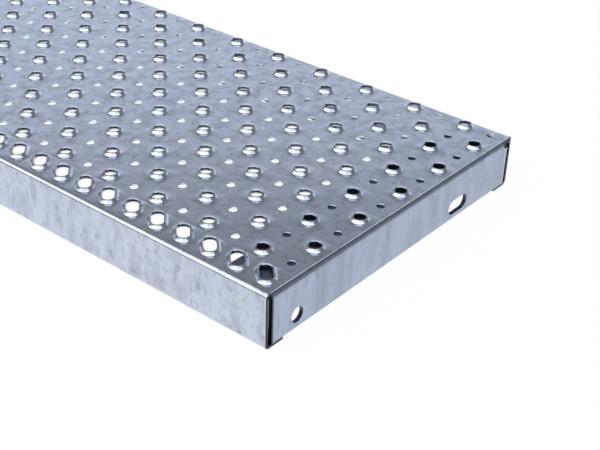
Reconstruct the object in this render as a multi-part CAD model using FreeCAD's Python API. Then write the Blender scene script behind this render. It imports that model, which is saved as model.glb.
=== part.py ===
# Folded and perforated steel stair tread with an angle bracket inside each end.
# Millimetres, +Z up: X runs along the tread and Y from the nosing to the back edge.
# The origin is under the middle of the tread, level with the undersides of its lips.
import FreeCAD
import Part

import math
import os

from FreeCAD import Vector

# Folded sheet
length = 610.0             # end to end
depth = 270.0              # over the outer faces of the front and back flanges
height = 40.0              # undersides of the lips to the walking face
sheet_thickness = 2.0
sheet_bend_radius = 1.5    # inside the bends
lip_width = 16.0           # outer face of the flange to the free edge of its lip

# Hole pattern, on a square grid set out from the right end and the front bend
hole_pitch = 22.4
end_flat = 3.8             # end of the tread to the feet of the nearest collars
nosing_flat = 2.2          # front bend to the feet of the nosing slots
collar_opening = 8.0       # across the raised rim
collar_skirt = 2.8         # reach of the collar's foot beyond its opening
collar_hollow = 1.5        # reach of the hollow under the collar beyond its opening
collar_height = 2.5        # rim above the walking face
slot_length = 16.0         # along the raised rim of a nosing slot
slot_turn = 135.0          # degrees from +X to the slot's run
drain_width = 6.0
collar_flat_count = 8      # flats that stand for a full turn of a collar's round wall
drain_flat_count = 6       # and of a drain hole's

# End brackets
bracket_thickness = 3.0
bracket_bend_radius = 1.0  # inside the bend
bracket_leg = 40.0         # end of the tread to the free edge of the leg under the walking face
bracket_front_gap = 3.6    # front flange to the bracket
bracket_back_gap = 2.0     # back flange to the bracket
corner_relief = 4.0        # cut from the back end of the bend, to clear the sheet's own bend
bolt_width = 11.0          # across the round hole and the slot
bolt_slot_length = 22.5
bolt_rise = 9.0            # foot of the bracket to the bolt holes' centres
bolt_setback = 29.0        # front flange to the round hole's centre
bolt_spacing = 175.0       # round hole to the slot, centre to centre

# Levels and edges that follow from the sizes above
end = length / 2
front = -depth / 2
back = depth / 2
under_face = height - sheet_thickness
fold = sheet_thickness + sheet_bend_radius
flat_front = front + fold
flat_back = back - fold
slot_stretch = slot_length - collar_opening


def polar(distance, degrees):
    """A level vector of this length, turned this far from +X."""
    angle = math.radians(degrees)
    return Vector(distance * math.cos(angle), distance * math.sin(angle), 0)


def corner_distance(width, flats):
    """Distance of the corners when they lie as far outside the true circle as the flats lie inside it."""
    return width / (1 + math.cos(math.pi / flats))


def round_outline(centre, width, flats):
    """Corners of a round hole."""
    distance = corner_distance(width, flats)
    return [centre + polar(distance, 360 * k / flats) for k in range(flats)]


def slot_outline(centre, width, flats):
    """Corners of a slot that runs from its first round end, at centre, along slot_turn."""
    distance = corner_distance(width, flats)
    far_centre = centre + polar(slot_stretch, slot_turn)
    half_turn = [180 * k / (flats // 2) for k in range(flats // 2 + 1)]
    far_end = [far_centre + polar(distance, slot_turn - 90 + turn) for turn in half_turn]
    near_end = [centre + polar(distance, slot_turn + 90 + turn) for turn in half_turn]
    return far_end + near_end


def closed_wire(corners):
    """Straight edges through the corners and back to the first."""
    return Part.makePolygon(corners + corners[:1])


def wall(lower, upper):
    """Flat faces between two outlines that have the same number of corners."""
    quads = []
    for k in range(len(lower)):
        quads.append(Part.Face(closed_wire([lower[k - 1], lower[k], upper[k], upper[k - 1]])))
    return quads


def grid_places():
    """Row, column and centre of every hole: columns run leftwards and rows backwards while their feet fit."""
    foot = corner_distance(collar_opening + 2 * collar_skirt, collar_flat_count)
    first_x = end - end_flat - foot
    first_y = flat_front + nosing_flat + foot
    last_x = -end + end_flat + foot - polar(slot_stretch, slot_turn).x
    last_y = flat_back - foot
    for row in range(int((last_y - first_y) / hole_pitch) + 1):
        for column in range(int((first_x - last_x) / hole_pitch) + 1):
            yield row, column, first_x - column * hole_pitch, first_y + row * hole_pitch


def collar(x, y, outline):
    """A collar drawn up from the sheet: its foot, its hollow's edge, and the walls that meet at its rim."""
    foot = outline(Vector(x, y, height), collar_opening + 2 * collar_skirt, collar_flat_count)
    rim = outline(Vector(x, y, height + collar_height), collar_opening, collar_flat_count)
    hollow = outline(Vector(x, y, under_face), collar_opening + 2 * collar_hollow, collar_flat_count)
    return foot, hollow, wall(foot, rim) + wall(rim, hollow)


def drain(x, y):
    """A plain hole straight through the sheet."""
    upper = round_outline(Vector(x, y, height), drain_width, drain_flat_count)
    lower = round_outline(Vector(x, y, under_face), drain_width, drain_flat_count)
    return upper, lower, wall(upper, lower)


def hole_pattern():
    """Outlines in the walking face, outlines in its underside, and the walls of all holes."""
    upper_outlines = []
    lower_outlines = []
    walls = []
    for row, column, x, y in grid_places():
        if row == 0:
            upper, lower, faces = collar(x, y, slot_outline)
        elif (row + column) % 2 == 0:
            upper, lower, faces = collar(x, y, round_outline)
        else:
            upper, lower, faces = drain(x, y)
        upper_outlines.append(upper)
        lower_outlines.append(lower)
        walls.extend(faces)
    return upper_outlines, lower_outlines, walls


def perforated_face(z, outlines):
    """The flat between the front and back bends at one level, with its holes."""
    border = [Vector(-end, flat_front, z), Vector(end, flat_front, z),
              Vector(end, flat_back, z), Vector(-end, flat_back, z)]
    holes = [closed_wire(corners[::-1]) for corners in outlines]
    return Part.Face([closed_wire(border)] + holes)


def rounded_path(corners, radius):
    """Straight edges through the corners, joined by tangent arcs of one radius."""
    edges = []
    start = corners[0]
    for before, corner, after in zip(corners, corners[1:], corners[2:]):
        along = (corner - before).normalize()
        away = (after - corner).normalize()
        arc_start = corner - along * radius
        arc_end = corner + away * radius
        centre = arc_start + away * radius
        arc_middle = centre + (corner - centre).normalize() * radius
        edges.append(Part.makeLine(start, arc_start))
        edges.append(Part.Arc(arc_start, arc_middle, arc_end).toShape())
        start = arc_end
    edges.append(Part.makeLine(start, corners[-1]))
    return edges


def folded_path(inset, radius):
    """The section's path from lip to lip at the left end, this far inside the outer faces."""
    tip = depth / 2 - lip_width
    side = depth / 2 - inset
    places = [(-tip, inset), (-side, inset), (-side, height - inset),
              (side, height - inset), (side, inset), (tip, inset)]
    return rounded_path([Vector(-end, y, z) for y, z in places], radius)


def tread_sheet():
    """The folded sheet, closed up from its section's faces and the two perforated faces."""
    outer = folded_path(0, fold)
    inner = folded_path(sheet_thickness, sheet_bend_radius)
    tips = [Part.makeLine(outer[k].Vertexes[k].Point, inner[k].Vertexes[k].Point) for k in (0, -1)]
    walking = len(outer) // 2
    run = Vector(length, 0, 0)
    section = Part.Face(Part.Wire(Part.sortEdges(outer + inner + tips)[0]))
    upper_outlines, lower_outlines, faces = hole_pattern()
    faces.append(perforated_face(height, upper_outlines))
    faces.append(perforated_face(under_face, lower_outlines))
    faces.append(section)
    faces.append(section.translated(run))
    for path in (outer, inner):
        faces.extend(edge.extrude(run) for k, edge in enumerate(path) if k != walking)
    faces.extend(edge.extrude(run) for edge in tips)
    shell = Part.makeShell(faces)
    shell.sewShape()
    return Part.makeSolid(shell)


def bolt_slot_tool(y, z, stretch):
    """A bar along X that cuts a round hole, or a level slot when stretched."""
    radius = bolt_width / 2
    x = end - bracket_thickness
    reach = Vector(bracket_thickness, 0, 0)
    tool = Part.makeCylinder(radius, bracket_thickness, Vector(x, y - stretch / 2, z), Vector(1, 0, 0))
    if stretch > 0:
        middle = [Vector(x, y - stretch / 2, z - radius), Vector(x, y + stretch / 2, z - radius),
                  Vector(x, y + stretch / 2, z + radius), Vector(x, y - stretch / 2, z + radius)]
        far = Part.makeCylinder(radius, bracket_thickness, Vector(x, y + stretch / 2, z), Vector(1, 0, 0))
        tool = tool.fuse([Part.Face(closed_wire(middle)).extrude(reach), far])
    return tool


def end_bracket():
    """The right-hand angle: an upright leg on the lips, folded to a leg under the walking face."""
    y_front = front + sheet_thickness + bracket_front_gap
    y_back = back - sheet_thickness - bracket_back_gap
    foot = sheet_thickness
    inside = end - bracket_thickness
    leg_tip = end - bracket_leg
    leg_under = under_face - bracket_thickness
    bend = bracket_thickness + bracket_bend_radius
    outer = rounded_path([Vector(end, y_front, foot), Vector(end, y_front, under_face),
                          Vector(leg_tip, y_front, under_face)], bend)
    inner = rounded_path([Vector(inside, y_front, foot), Vector(inside, y_front, leg_under),
                          Vector(leg_tip, y_front, leg_under)], bracket_bend_radius)
    tips = [Part.makeLine(outer[k].Vertexes[k].Point, inner[k].Vertexes[k].Point) for k in (0, -1)]
    section = Part.Face(Part.Wire(Part.sortEdges(outer + inner + tips)[0]))
    angle = section.extrude(Vector(0, y_back - y_front - corner_relief, 0))
    upright = Part.makeBox(bracket_thickness, y_back - y_front, under_face - bend - foot,
                           Vector(inside, y_front, foot))
    bolt_y = front + bolt_setback
    bolt_z = foot + bolt_rise
    round_hole = bolt_slot_tool(bolt_y, bolt_z, 0)
    slotted_hole = bolt_slot_tool(bolt_y + bolt_spacing, bolt_z, bolt_slot_length - bolt_width)
    return angle.fuse(upright).removeSplitter().cut([round_hole, slotted_hole]).Solids[0]


right_bracket = end_bracket()
pieces = {
    "tread_sheet": tread_sheet(),
    "end_bracket_right": right_bracket,
    "end_bracket_left": right_bracket.mirror(Vector(0, 0, 0), Vector(1, 0, 0)),
}

os.makedirs("parts", exist_ok=True)
for name, shape in pieces.items():
    print(name, shape.ShapeType, shape.isValid(), round(shape.Volume), len(shape.Faces))
    shape.exportStep("parts/" + name + ".step")
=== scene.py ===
import math

import bmesh
import bpy
import numpy as np
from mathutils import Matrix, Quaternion, Vector


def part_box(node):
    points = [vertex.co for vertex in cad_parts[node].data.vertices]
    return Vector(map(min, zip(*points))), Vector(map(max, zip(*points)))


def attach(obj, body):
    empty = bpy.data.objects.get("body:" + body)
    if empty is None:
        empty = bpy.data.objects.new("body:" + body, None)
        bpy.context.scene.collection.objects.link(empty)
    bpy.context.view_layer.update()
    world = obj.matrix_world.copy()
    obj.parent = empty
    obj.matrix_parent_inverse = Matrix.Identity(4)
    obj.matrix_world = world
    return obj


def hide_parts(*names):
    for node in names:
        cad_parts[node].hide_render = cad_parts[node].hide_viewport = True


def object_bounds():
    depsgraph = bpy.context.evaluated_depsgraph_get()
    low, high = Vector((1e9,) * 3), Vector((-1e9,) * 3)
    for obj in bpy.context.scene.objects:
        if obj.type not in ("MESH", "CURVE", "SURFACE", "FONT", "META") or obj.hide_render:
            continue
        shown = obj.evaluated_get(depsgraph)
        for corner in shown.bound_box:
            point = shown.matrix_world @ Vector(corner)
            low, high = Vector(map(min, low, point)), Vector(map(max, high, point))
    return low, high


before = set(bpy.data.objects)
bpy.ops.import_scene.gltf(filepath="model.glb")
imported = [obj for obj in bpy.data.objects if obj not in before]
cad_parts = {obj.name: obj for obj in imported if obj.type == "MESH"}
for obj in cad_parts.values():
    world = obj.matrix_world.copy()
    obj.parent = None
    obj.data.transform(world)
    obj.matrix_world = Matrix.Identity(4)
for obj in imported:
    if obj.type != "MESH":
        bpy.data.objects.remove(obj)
cad_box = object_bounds()

mm = 0.001

# Folded sheet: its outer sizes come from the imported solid
sheet_low, sheet_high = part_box("tread_sheet")
end = sheet_high.x
front = sheet_low.y
back = sheet_high.y
collar_height = 2.5 * mm
walking_face = sheet_high.z - collar_height
sheet_thickness = 2.0 * mm
under_face = walking_face - sheet_thickness
sheet_fold = 3.5 * mm          # outside radius of the bends
lip_width = 16.0 * mm
flat_front = front + sheet_fold
flat_back = back - sheet_fold
edge_softening = 0.12 * mm     # set-back of the outer edge of the cut ends
cut_margin = 0.5 * mm          # width of the margin that slopes from that edge to the plane of the end
bend_steps = 8                 # flats in a quarter turn of a bend
cut_shade = 0.94               # darkness of the cut edges, between zinc at 0 and raw steel at 1
painted_pocket_shade = 0.9             # painted shade, on the same scale, on the folds' inner faces at their ends, in the dark pocket behind each bracket

# Hole pattern, counted leftwards from the right end and backwards from the nosing
hole_pitch = 22.4 * mm
column_count = 27
row_count = 12
first_inset = 10.87 * mm       # right end to the centres of the first column
first_setback = 12.77 * mm     # front flange to the centres of the first row
opening_radius = 4.0 * mm      # inside a collar's rim
skirt = 2.8 * mm               # reach of a collar's foot beyond its opening
hollow = 3.2 * mm              # reach of the hollow under a collar beyond its opening
foot_reach = 2.1 * mm          # a collar's opening to the top of its rounded foot
foot_rise = 0.5 * mm           # that line above the walking face
land_reach = 1.2 * mm          # a collar's opening to the outer edge of its rim, which slopes outwards
land_drop = 0.14 * mm          # that edge below the crest
land_shade = 0.25              # darkness of the rim outside the crest, partly its bare sheared steel and partly painted shade
crest_reach = 0.45 * mm        # opening to the crest
crest_drop = 0.4 * mm          # crest to the opening's edge, where the dark sheared wall starts
crest_shade = 0.4              # darkness of the rim inside the crest, partly its bare sheared steel and partly painted shade
sheared_depth = 1.6 * mm       # height of the sheared wall
sheared_shade = 0.9            # and its darkness
drain_radius = 2.8 * mm        # throat of a drain hole
drain_roll = 0.3 * mm          # width of the rolled edge around it
roll_reach = 0.105 * mm        # throat to the line where the rolled edge turns steep
roll_drop = 0.108 * mm         # that line below the walking face
roll_depth = 0.36 * mm         # throat below the walking face
drain_flare = 1.7 * mm         # widening from the throat to the underside
slot_stretch = 8.0 * mm        # a nosing slot's first centre to its second
slot_turn = math.radians(135)  # direction of that run
slot_cell_reach = 14.0 * mm    # nosing slots' first centres to the line behind their cells
slot_cell_lean = 4.0 * mm      # shift of that line's corners to the left
border_steps = 4               # points on each side of a hole's cell
around = 4 * border_steps
border_start = math.radians(225)   # direction of the corner where a cell's border starts

# End brackets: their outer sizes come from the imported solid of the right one
bracket_low, bracket_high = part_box("end_bracket_right")
bracket_thickness = 3.0 * mm
bracket_fold = 6.0 * mm        # outside radius of the bend
corner_relief = 4.0 * mm       # cut from the back end of the bend and the leg
bolt_radius = 5.5 * mm
bolt_rise = 9.0 * mm           # foot of the bracket to the bolt holes' centres
bolt_setback = 29.0 * mm       # front flange to the round hole's centre
bolt_spacing = 175.0 * mm      # round hole to the slot, centre to centre
bolt_stretches = (0.0, 5.75 * mm)   # half the straight run: a round hole and a slot
bolt_cell_reach = 20.0 * mm    # a bolt hole's centre to the sides of its cell
bolt_cell_steps = 8            # points on each side of a bolt hole's cell
bracket_softening = 0.1 * mm   # rounding along the bracket's edges
rollover_and_painted_shade_width = 1.2 * mm    # dark margin along the bracket's front edge: sheared roll-over, and painted shade of the gap behind the front fold
rollover_and_painted_shade = 0.85              # and its darkness
bolt_shade = 0.82              # darkness of the bolt holes' walls
hidden_shade = 0.45            # darkness of the leg's face that lies against the sheet

# Zinc and steel: scales are per metre, and bands are values of the noise
drift_scale = 14.0             # slow drift between two greys
blotch_band = (0.34, 0.56)     # a blotch is darkest up to the first value and gone from the second
speck_band = (0.30, 0.42)      # and so is a speck
speck_fineness = 2.4           # blotches are this many times larger than specks
gloss_band = (0.3, 0.7)        # roughest up to the first value, smoothest from the second
crystal_scale = 210.0
crystal_depth = 0.93           # tone of the darkest crystals
ripple_scale = 90.0
ripple_height = 0.25 * mm
ripple_strength = 0.12
metal_share = 0.92
raw_steel = (0.012, 0.016, 0.022, 1)

# Room: a stretch has a direction, and the cosines to it where it begins and where it is full
room_grey = (0.22, 0.22, 0.23, 1)
wall_stretch = ((-0.866, 0.5, 0.0), 0.05, 0.70)
dark_stretch = ((-0.956, 0.151, 0.252), 0.92, 0.97)
left_card_stretch = ((-0.77, -0.55, 0.33), 0.84, 0.92)
high_card_stretch = ((0.25, -0.55, 0.79), 0.50, 0.62)

# Tones of the room, by the height that a direction of length 1 reaches
wall_tones = [
    (0.08, (1.70, 1.75, 1.80)),
    (0.24, (0.95, 1.00, 1.10)),
    (0.39, (0.65, 0.71, 0.81)),
    (0.43, (0.74, 0.78, 0.845)),
    (0.465, (0.67, 0.69, 0.77)),
    (0.51, (0.30, 0.305, 0.325)),
    (0.55, (0.22, 0.23, 0.215)),
    (0.80, 0.20),
]
left_card_tones = [(0.16, 0.05), (0.25, 1.2)]
high_card_tones = [(0.16, 0.05), (0.25, 0.85), (0.55, 1.7)]

# Floor
floor_reach = 8.0
floor_gap = 0.2 * mm           # floor to the lips
floor_colour = (0.84, 0.85, 0.87, 1)
floor_white = 0.97             # share of plain white in what is seen of the floor

# Camera
camera_place = Vector((0.6580, -0.5505, 0.4247))
camera_aim = Vector((0.2705, -0.0632, 0.0400))
camera_roll = math.radians(2.07)
camera_sensor = 36.0           # width in millimetres
camera_lens = 70.26            # focal length in millimetres
camera_near = 0.01             # nearest distance that is drawn

weld_distance = 0.01 * mm
sharp_angle = math.radians(42)


def levelled(flat_points, z):
    """Points of a plan, raised to one level."""
    return np.concatenate([flat_points, np.full(flat_points.shape[:-1] + (1,), z)], axis=-1)


def stack_quads(grids):
    """Corner numbers of the quads between neighbouring points, for a stack of grids of points."""
    count, rows, columns = grids.shape[:3]
    number = np.arange(count * rows * columns).reshape(count, rows, columns)
    corners = [number[:, :-1, :-1], number[:, :-1, 1:], number[:, 1:, 1:], number[:, 1:, :-1]]
    return np.stack(corners, axis=-1)


def shell_piece(name, patches, softening=0.0):
    """A closed shell welded from stacks of grids, each with one darkness for each row of its quads."""
    points = []
    quads = []
    shades = []
    point_count = 0
    for grids, row_shades in patches:
        numbers = stack_quads(grids)
        row_shades = np.asarray(row_shades, dtype=np.float32)[None, :, None]
        points.append(grids.reshape(-1, 3))
        quads.append(numbers.reshape(-1, 4) + point_count)
        shades.append(np.broadcast_to(row_shades, numbers.shape[:3]).ravel())
        point_count += len(points[-1])
    mesh = bpy.data.meshes.new(name)
    mesh.from_pydata(np.concatenate(points).tolist(), [], np.concatenate(quads).tolist())
    attribute = mesh.attributes.new("cut_edge", "FLOAT", "FACE")
    attribute.data.foreach_set("value", np.concatenate(shades))
    shell = bmesh.new()
    shell.from_mesh(mesh)
    bmesh.ops.remove_doubles(shell, verts=shell.verts, dist=weld_distance)
    bmesh.ops.recalc_face_normals(shell, faces=shell.faces)
    shell.to_mesh(mesh)
    shell.free()
    mesh.shade_smooth()
    mesh.set_sharp_from_angle(angle=sharp_angle)
    piece = bpy.data.objects.new(name, mesh)
    bpy.context.scene.collection.objects.link(piece)
    if softening > 0:
        edges = piece.modifiers.new("softened edges", "BEVEL")
        edges.width = softening
        edges.segments = 2
        edges.limit_method = "ANGLE"
        edges.angle_limit = sharp_angle
    shading = piece.modifiers.new("flat faces stay flat", "WEIGHTED_NORMAL")
    shading.keep_sharp = True
    return piece


# Hole cells of the walking face
hole_x = end - first_inset - hole_pitch * np.arange(column_count)
hole_y = front + first_setback + hole_pitch * np.arange(row_count)


def cell_borders():
    """Border of every hole's cell, by row and column: border_steps points on each of its four sides, turning
    left from the front left corner. Cells meet halfway between holes, except that the line behind the nosing
    slots lies further back and leans left with the slots."""
    edge_x = np.concatenate([[end - edge_softening], hole_x[1:] + hole_pitch / 2, [edge_softening - end]])
    line_y = np.concatenate([[flat_front], hole_y[1:] - hole_pitch / 2, [flat_back]])
    line_y[1] = hole_y[0] + slot_cell_reach
    corner = np.empty((row_count + 1, column_count + 1, 2))
    corner[..., 0] = edge_x
    corner[..., 1] = line_y[:, None]
    corner[1, 1:-1, 0] -= slot_cell_lean
    loop = [corner[:-1, 1:], corner[:-1, :-1], corner[1:, :-1], corner[1:, 1:], corner[:-1, 1:]]
    loop = np.stack(loop, axis=2)[:, :, :, None]
    share = np.arange(border_steps)[:, None] / border_steps
    sides = loop[:, :, :-1] + (loop[:, :, 1:] - loop[:, :, :-1]) * share
    return sides.reshape(row_count, column_count, around, 2)


def holed_cells(borders, centres, angles, shifts, profile):
    """Cells with a hole each. Along the first parameter a cell runs from its border in the walking face over
    rings of the profile's radius and level to its border in the underside; along the second it runs once
    round: a ring's point is the hole's centre, plus its shift, plus the radius at its angle."""
    heading = np.stack([np.cos(angles), np.sin(angles)], axis=-1)
    rings = [levelled(borders, walking_face)]
    for radius, z in profile:
        rings.append(levelled(centres[:, None] + shifts + radius * heading, z))
    rings.append(levelled(borders, under_face))
    grids = np.stack(rings, axis=1)
    return np.concatenate([grids, grids[:, :, :1]], axis=2)


def hole_patches(borders):
    """Cells of the nosing slots, round collars and drain holes, with the collars' dark rims marked."""
    column, row = np.meshgrid(np.arange(column_count), np.arange(row_count))
    centres = np.stack(np.meshgrid(hole_x, hole_y), axis=-1)
    rim = walking_face + collar_height
    collar = [
        (opening_radius + skirt, walking_face),
        (opening_radius + foot_reach, walking_face + foot_rise),
        (opening_radius + land_reach, rim - land_drop),
        (opening_radius + crest_reach, rim),
        (opening_radius, rim - crest_drop),
        (opening_radius, rim - crest_drop - sheared_depth),
        (opening_radius + hollow, under_face),
    ]
    # The rim's land and crest rows are partly bare steel and partly painted shade; the sheared wall is bare
    # cut steel
    collar_shades = [0, 0, 0, land_shade, crest_shade, sheared_shade, 0, 0]
    drain = [
        (drain_radius + drain_roll, walking_face),
        (drain_radius + roll_reach, walking_face - roll_drop),
        (drain_radius, walking_face - roll_depth),
        (drain_radius + drain_flare, under_face),
    ]
    drain_shades = np.zeros(len(drain) + 1)
    turn = border_start + np.linspace(0, 2 * math.pi, around, endpoint=False)
    half_turn = np.linspace(0, math.pi, around // 2)
    slot_angles = np.concatenate([slot_turn + math.pi / 2 + half_turn, slot_turn - math.pi / 2 + half_turn])
    slot_run = slot_stretch * np.array([math.cos(slot_turn), math.sin(slot_turn)])
    slot_shifts = np.repeat([[0, 0], slot_run], around // 2, axis=0)
    is_slot = row == 0
    is_collar = ~is_slot & ((row + column) % 2 == 0)
    is_drain = ~is_slot & ~is_collar
    return [
        (holed_cells(borders[is_slot], centres[is_slot], slot_angles, slot_shifts, collar), collar_shades),
        (holed_cells(borders[is_collar], centres[is_collar], turn, 0, collar), collar_shades),
        (holed_cells(borders[is_drain], centres[is_drain], turn, 0, drain), drain_shades),
    ]


def fold_path(inset):
    """Section of the front fold, this far inside the outer face: from the lip's free edge straight to a
    quarter arc, up the flange, and over a second quarter arc to the walking face."""
    radius = sheet_fold - inset
    bend_z = walking_face - sheet_fold
    turn = np.linspace(0, math.pi / 2, bend_steps + 1)
    tip = [[front + lip_width, inset]]
    lower = np.stack([flat_front - radius * np.sin(turn), sheet_fold - radius * np.cos(turn)], axis=1)
    upper = np.stack([flat_front - radius * np.cos(turn), bend_z + radius * np.sin(turn)], axis=1)
    return np.concatenate([tip, lower, upper])


def swept(path, stations):
    """A section path carried along X: one row of points for each station."""
    x = np.broadcast_to(stations[:, None, None], (len(stations), len(path), 1))
    section = np.broadcast_to(path, (len(stations),) + path.shape)
    return np.concatenate([x, section], axis=2)


def fold_patches(stations):
    """Front and back folds: outer face, inner face, and the cut edge of the lip between them."""
    patches = []
    for side in (1, -1):
        outer = swept(fold_path(0) * [side, 1], stations)
        inner = swept(fold_path(sheet_thickness) * [side, 1], stations)
        lip_edge = np.stack([outer[:, 0], inner[:, 0]])
        # The inner faces' rows at both ends get painted shade for the dark pocket behind each bracket
        painted_shade_rows = np.zeros(len(stations) - 1)
        painted_shade_rows[[0, -1]] = painted_pocket_shade
        patches.append((outer[None], np.zeros(len(stations) - 1)))
        patches.append((inner[None], painted_shade_rows))
        patches.append((lip_edge[None], [cut_shade]))
    return patches


def section_outline(inset, stations):
    """The whole section from lip to lip, this far inside the outer face, with the given places along Y."""
    fold = fold_path(inset)[:-1]
    across = np.stack([stations, np.full(len(stations), walking_face - inset)], axis=1)
    return np.concatenate([fold, across, fold[::-1] * [-1, 1]])


def end_patches(stations):
    """Cut ends: four rows of points lead from the outer outline over a narrow margin to the inner outline,
    and a small quad closes each lip's corner. The margin is zinc along the walking face and dark along the
    folds."""
    outer = section_outline(0, stations)
    inner = section_outline(sheet_thickness, stations)
    margin = (inner - outer) * (cut_margin / sheet_thickness)
    inside = end - edge_softening
    face_start = len(fold_path(0)) - 1
    face_stop = face_start + len(stations) - 1
    stretches = [
        (slice(None, face_start + 1), cut_shade),
        (slice(face_start, face_stop + 1), 0),
        (slice(face_stop, None), cut_shade),
    ]
    patches = []
    for side in (1, -1):
        rows = [(outer, inside), (outer + margin, end), (inner, end), (inner, inside)]
        grid = np.concatenate([swept(path, np.array([side * x])) for path, x in rows])
        for stretch, margin_shade in stretches:
            patches.append((grid[None, :, stretch], [margin_shade, cut_shade, 0]))
        corners = grid[:, [0, -1]].transpose(1, 0, 2)[:, [0, 1, 3, 2]].reshape(2, 2, 2, 3)
        patches.append((corners, [cut_shade]))
    return patches


def tread_sheet():
    """The folded and perforated sheet as one closed shell."""
    borders = cell_borders()
    stations_x = np.unique(np.append(borders[0, :, :border_steps, 0], end - edge_softening))
    stations_y = np.append(borders[:, 0, border_steps:2 * border_steps, 1], flat_back)
    return shell_piece("tread", hole_patches(borders) + fold_patches(stations_x) + end_patches(stations_y))


# The bracket's upright is cut into levels that the sides of its bolt holes' cells share
bend_level = bracket_high.z - bracket_fold
upright_levels = np.linspace(bracket_low.z, bend_level, bolt_cell_steps + 1)
bolt_level = bracket_low.z + bolt_rise
bolt_places = (front + bolt_setback, front + bolt_setback + bolt_spacing)


def angle_path(inset):
    """Section of the right bracket in X and Z, this far inside its outer face: up the upright, round a
    quarter arc, and along the leg to its free edge."""
    radius = bracket_fold - inset
    turn = np.linspace(0, math.pi / 2, bend_steps + 1)[1:]
    upright = np.stack([np.full(len(upright_levels), end - inset), upright_levels], axis=1)
    bend = np.stack([end - bracket_fold + radius * np.cos(turn), bend_level + radius * np.sin(turn)], axis=1)
    return np.concatenate([upright, bend, [[bracket_low.x, bracket_high.z - inset]]])


def carried(path, stations):
    """A path of X and Z carried along Y: one row of points for each station."""
    y = np.broadcast_to(np.asarray(stations)[:, None], (len(stations), len(path)))
    return np.stack([np.broadcast_to(path[:, 0], y.shape), y, np.broadcast_to(path[:, 1], y.shape)], axis=-1)


def bolt_cell(y_low, y_high, centre, stretch):
    """A cell of the upright with its hole. Along the first parameter it runs from its border in the outer
    face over the hole's two rims to its border in the inner face; along the second it runs once round."""
    z_low, z_high = upright_levels[0], upright_levels[-1]
    corner = np.array([[y_low, z_low], [y_high, z_low], [y_high, z_high], [y_low, z_high], [y_low, z_low]])
    share = np.arange(bolt_cell_steps)[:, None] / bolt_cell_steps
    border = (corner[:-1, None] + (corner[1:] - corner[:-1])[:, None] * share).reshape(-1, 2)
    count = len(border)
    turn = border_start + (np.arange(count) + 0.5) * (2 * math.pi / count)
    heading = np.stack([np.cos(turn), np.sin(turn)], axis=1)
    rim = [centre, bolt_level] + np.sign(heading) * [stretch, 0] + bolt_radius * heading
    rows = [(border, end), (rim, end), (rim, end - bracket_thickness), (border, end - bracket_thickness)]
    grid = np.stack([np.column_stack([np.full(count, x), plan]) for plan, x in rows])
    return np.concatenate([grid, grid[:, :1]], axis=1)


def end_bracket(name, side):
    """A folded angle as one closed shell: its leg, its bend and the strips of its upright on both faces, the
    cut edges between the faces, and the bolt holes' cells. Side is 1 at the right end and -1 at the left."""
    mirror = [side, 1, 1]
    y_front, y_back = bracket_low.y, bracket_high.y
    y_relief = y_back - corner_relief
    y_shade = y_front + rollover_and_painted_shade_width
    cells = [np.linspace(y - bolt_cell_reach, y + bolt_cell_reach, bolt_cell_steps + 1) for y in bolt_places]
    bend_stations = np.concatenate([[y_front, y_shade], *cells, [y_relief]])
    strips = [(y_front, y_shade), (y_shade, cells[0][0]), (cells[0][-1], cells[1][0]),
              (cells[1][-1], y_relief), (y_relief, y_back)]
    top = bolt_cell_steps
    outer = angle_path(0)
    inner = angle_path(bracket_thickness)
    patches = []
    # The outer face's front strip is darkened both for the sheared roll-over and as painted shade of the gap
    # behind the front fold
    for path, front_shade, leg_shade in ((outer, rollover_and_painted_shade, hidden_shade), (inner, 0, 0)):
        leg = carried(path[-2:], bend_stations)[None] * mirror
        patches.append((leg, np.full(len(bend_stations) - 1, leg_shade)))
        faces = [(path[top:-1], bend_stations)] + [(path[:top + 1], strip) for strip in strips]
        for part, stations in faces:
            shades = np.where(np.asarray(stations[:-1]) == y_front, front_shade, 0)
            patches.append((carried(part, stations)[None] * mirror, shades))
    edges = [
        (slice(None), [y_front]),
        (slice(top, None), [y_relief]),
        (slice(None, top + 1), [y_back]),
        (slice(0, 1), np.append(bend_stations, y_back)),
        (slice(-1, None), bend_stations),
        (slice(top, top + 1), [y_relief, y_back]),
    ]
    for part, stations in edges:
        rows = [carried(path[part], stations).reshape(-1, 3) for path in (outer, inner)]
        patches.append((np.stack(rows)[None] * mirror, [cut_shade]))
    for cell, centre, stretch in zip(cells, bolt_places, bolt_stretches):
        grid = bolt_cell(cell[0], cell[-1], centre, stretch)
        patches.append((grid[None] * mirror, [0, bolt_shade, 0]))
    return shell_piece(name, patches, bracket_softening)


def add_node(tree, kind, inputs, **settings):
    """A node with its settings, and with inputs that are plain values or other nodes' outputs."""
    node = tree.nodes.new(kind)
    for name, value in settings.items():
        setattr(node, name, value)
    for name, value in inputs.items():
        if isinstance(value, bpy.types.NodeSocket):
            tree.links.new(value, node.inputs[name])
        else:
            node.inputs[name].default_value = value
    return node


def tone_ramp(tree, factor, stops):
    """A ramp through the given positions, of grey tones or of colours."""
    ramp = add_node(tree, "ShaderNodeValToRGB", {"Fac": factor})
    elements = ramp.color_ramp.elements
    while len(elements) < len(stops):
        elements.new(0.5)
    for element, (position, tone) in zip(elements, stops):
        element.position = position
        element.color = (*tone, 1) if isinstance(tone, tuple) else (tone, tone, tone, 1)
    return ramp.outputs["Color"]


def blended(tree, factor, first, second, blend_type="MIX"):
    """From the first colour to its blend with the second as the factor goes from 0 to 1. Inputs 0, 6 and 7
    and output 2 are those that a mix node uses for colours."""
    inputs = {0: factor, 6: first, 7: second}
    mix = add_node(tree, "ShaderNodeMix", inputs, data_type="RGBA", blend_type=blend_type)
    return mix.outputs[2]


def multiplied(tree, first, second):
    """Two colours multiplied."""
    return blended(tree, 1.0, first, second, "MULTIPLY")


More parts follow.
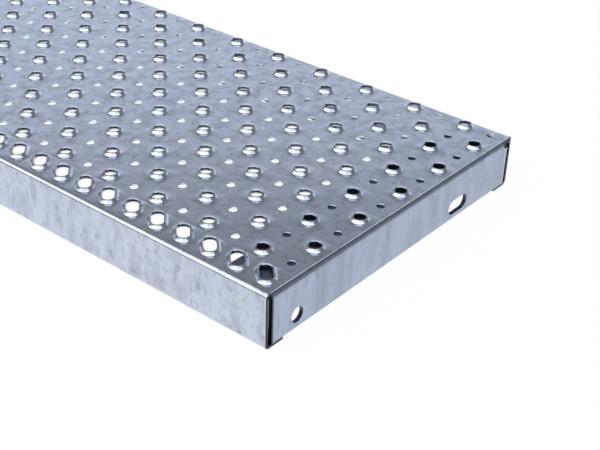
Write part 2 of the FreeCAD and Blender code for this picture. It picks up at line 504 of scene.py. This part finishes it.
def stretched_noise(tree, place, scale, detail, roughness):
    """Noise with its own scale along each axis."""
    stretched = add_node(tree, "ShaderNodeMapping", {"Vector": place, "Scale": scale})
    inputs = {"Vector": stretched.outputs["Vector"], "Scale": 1.0, "Detail": detail, "Roughness": roughness}
    return add_node(tree, "ShaderNodeTexNoise", inputs).outputs["Fac"]


def darkened(tree, colour, noise, band, depth):
    """A colour, darkened to this depth where the noise is low in its band."""
    darkest, gone = band
    return multiplied(tree, colour, tone_ramp(tree, noise, [(darkest, depth), (gone, 1.0)]))


def zinc_finish(name, cool_zinc, warm_zinc, blotch_scale, blotch_depth, roughness):
    """Dull hot-dip zinc: a slow drift between two greys, darker blotches and specks, faint crystals, a slight
    ripple, and dark raw cut edges."""
    material = bpy.data.materials.new(name)
    material.use_nodes = True
    tree = material.node_tree
    surface = tree.nodes["Principled BSDF"]
    place = add_node(tree, "ShaderNodeTexCoord", {}).outputs["Object"]
    drift = add_node(tree, "ShaderNodeTexNoise", {"Vector": place, "Scale": drift_scale, "Detail": 2.0})
    zinc = blended(tree, drift.outputs["Fac"], cool_zinc, warm_zinc)

    blotches = stretched_noise(tree, place, blotch_scale, detail=4.0, roughness=0.6)
    zinc = darkened(tree, zinc, blotches, blotch_band, blotch_depth)
    speck_scale = [speck_fineness * scale for scale in blotch_scale]
    specks = stretched_noise(tree, place, speck_scale, detail=2.0, roughness=0.5)
    zinc = darkened(tree, zinc, specks, speck_band, blotch_depth)

    crystals = add_node(tree, "ShaderNodeTexVoronoi", {"Vector": place, "Scale": crystal_scale})
    crystal_value = add_node(tree, "ShaderNodeSeparateColor", {"Color": crystals.outputs["Color"]})
    zinc = darkened(tree, zinc, crystal_value.outputs["Red"], (0.0, 1.0), crystal_depth)

    cut = add_node(tree, "ShaderNodeAttribute", {}, attribute_name="cut_edge").outputs["Fac"]
    tree.links.new(blended(tree, cut, zinc, raw_steel), surface.inputs["Base Color"])

    low, high = gloss_band
    smooth, rough = roughness
    inputs = {"Value": blotches, "From Min": low, "From Max": high, "To Min": rough, "To Max": smooth}
    gloss = add_node(tree, "ShaderNodeMapRange", inputs)
    tree.links.new(gloss.outputs["Result"], surface.inputs["Roughness"])
    surface.inputs["Metallic"].default_value = metal_share

    ripple = add_node(tree, "ShaderNodeTexNoise", {"Vector": place, "Scale": ripple_scale, "Detail": 3.0})
    inputs = {"Height": ripple.outputs["Fac"], "Strength": ripple_strength, "Distance": ripple_height}
    bump = add_node(tree, "ShaderNodeBump", inputs)
    tree.links.new(bump.outputs["Normal"], surface.inputs["Normal"])
    return material


def worked_out(tree, operation, first, second):
    """Two values added or multiplied."""
    return add_node(tree, "ShaderNodeMath", {0: first, 1: second}, operation=operation).outputs[0]


def studio_floor():
    """A wide pale floor just under the lips. Seen directly or in metal it is near white, with a trace of the
    tread's shadow."""
    reach = floor_reach
    z = cad_box[0][2] - floor_gap
    mesh = bpy.data.meshes.new("studio_floor")
    corners = [(-reach, -reach, z), (reach, -reach, z), (reach, reach, z), (-reach, reach, z)]
    mesh.from_pydata(corners, [], [(0, 1, 2, 3)])
    floor = bpy.data.objects.new("studio_floor", mesh)
    bpy.context.scene.collection.objects.link(floor)
    material = bpy.data.materials.new("pale floor")
    material.use_nodes = True
    tree = material.node_tree
    tree.nodes.remove(tree.nodes["Principled BSDF"])
    rays = add_node(tree, "ShaderNodeLightPath", {}).outputs
    seen = worked_out(tree, "ADD", rays["Is Camera Ray"], rays["Is Glossy Ray"])
    seen = worked_out(tree, "ADD", seen, rays["Is Transmission Ray"])
    share = worked_out(tree, "MULTIPLY", seen, floor_white)
    lit = add_node(tree, "ShaderNodeBsdfDiffuse", {"Color": floor_colour})
    white = add_node(tree, "ShaderNodeEmission", {"Color": (1, 1, 1, 1), "Strength": 1.0})
    mix = add_node(tree, "ShaderNodeMixShader", {0: share, 1: lit.outputs[0], 2: white.outputs[0]})
    tree.links.new(mix.outputs[0], tree.nodes["Material Output"].inputs["Surface"])
    mesh.materials.append(material)


def facing(tree, heading, stretch):
    """How far a direction lies in a stretch of the room: 0 below its lower cosine, 1 above its higher one,
    smooth between."""
    side, low, high = stretch
    cosine = add_node(tree, "ShaderNodeVectorMath", {0: heading, 1: side}, operation="DOT_PRODUCT")
    inputs = {"Value": cosine.outputs["Value"], "From Min": low, "From Max": high}
    share = add_node(tree, "ShaderNodeMapRange", inputs, interpolation_type="SMOOTHSTEP")
    return share.outputs["Result"]


def studio_world():
    """Plain grey room: a pale wall on the left and behind, with a darker stretch low on the left, and two
    large white cards, one to the left of the front and one that leans overhead, both down to a dark
    skirting."""
    world = bpy.data.worlds.new("studio")
    bpy.context.scene.world = world
    world.use_nodes = True
    tree = world.node_tree
    heading = add_node(tree, "ShaderNodeTexCoord", {}).outputs["Generated"]
    height = add_node(tree, "ShaderNodeSeparateXYZ", {"Vector": heading}).outputs["Z"]
    wall = tone_ramp(tree, height, wall_tones)
    left_card = tone_ramp(tree, height, left_card_tones)
    high_card = tone_ramp(tree, height, high_card_tones)
    room = blended(tree, facing(tree, heading, wall_stretch), room_grey, wall)
    room = blended(tree, facing(tree, heading, dark_stretch), room, room_grey)
    room = blended(tree, facing(tree, heading, left_card_stretch), room, left_card)
    room = blended(tree, facing(tree, heading, high_card_stretch), room, high_card)
    background = tree.nodes["Background"]
    tree.links.new(room, background.inputs["Color"])
    background.inputs["Strength"].default_value = 1.0


def softbox(name, place, aim, width, height, power):
    """A large flat lamp at a place, facing an aim."""
    lamp = bpy.data.lights.new(name, "AREA")
    lamp.shape = "RECTANGLE"
    lamp.size = width
    lamp.size_y = height
    lamp.energy = power
    light = bpy.data.objects.new(name, lamp)
    light.location = place
    light.rotation_euler = (Vector(aim) - Vector(place)).to_track_quat("-Z", "Y").to_euler()
    bpy.context.scene.collection.objects.link(light)


def studio_camera():
    """The camera at its place, turned to its aim and rolled a little to the left."""
    lens = bpy.data.cameras.new("camera")
    lens.sensor_width = camera_sensor
    lens.lens = camera_lens
    lens.clip_start = camera_near
    camera = bpy.data.objects.new("camera", lens)
    camera.location = camera_place
    level = (camera_aim - camera_place).to_track_quat("-Z", "Y")
    camera.rotation_euler = (level @ Quaternion((0, 0, 1), camera_roll)).to_euler()
    bpy.context.scene.collection.objects.link(camera)
    bpy.context.scene.camera = camera


sheet_zinc = zinc_finish(
    "galvanised sheet",
    cool_zinc=(0.535, 0.61, 0.745, 1),
    warm_zinc=(0.60, 0.64, 0.755, 1),
    blotch_scale=(110.0, 110.0, 55.0),
    blotch_depth=0.78,
    roughness=(0.14, 0.24),
)
bracket_zinc = zinc_finish(
    "galvanised bracket",
    cool_zinc=(0.385, 0.455, 0.595, 1),
    warm_zinc=(0.44, 0.495, 0.625, 1),
    blotch_scale=(60.0, 130.0, 22.0),
    blotch_depth=0.84,
    roughness=(0.26, 0.38),
)

tread = tread_sheet()
tread.data.materials.append(sheet_zinc)
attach(tread, "root")
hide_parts("tread_sheet")

for node, side in (("end_bracket_right", 1), ("end_bracket_left", -1)):
    bracket = end_bracket(node + "_finished", side)
    bracket.data.materials.append(bracket_zinc)
    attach(bracket, "root")
    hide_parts(node)

studio_floor()
studio_world()
softbox("front softbox", place=(-0.45, -1.60, 1.10), aim=(0.0, 0.0, 0.04), width=3.6, height=0.9, power=10.0)
studio_camera()

bpy.context.scene.view_settings.view_transform = "Standard"
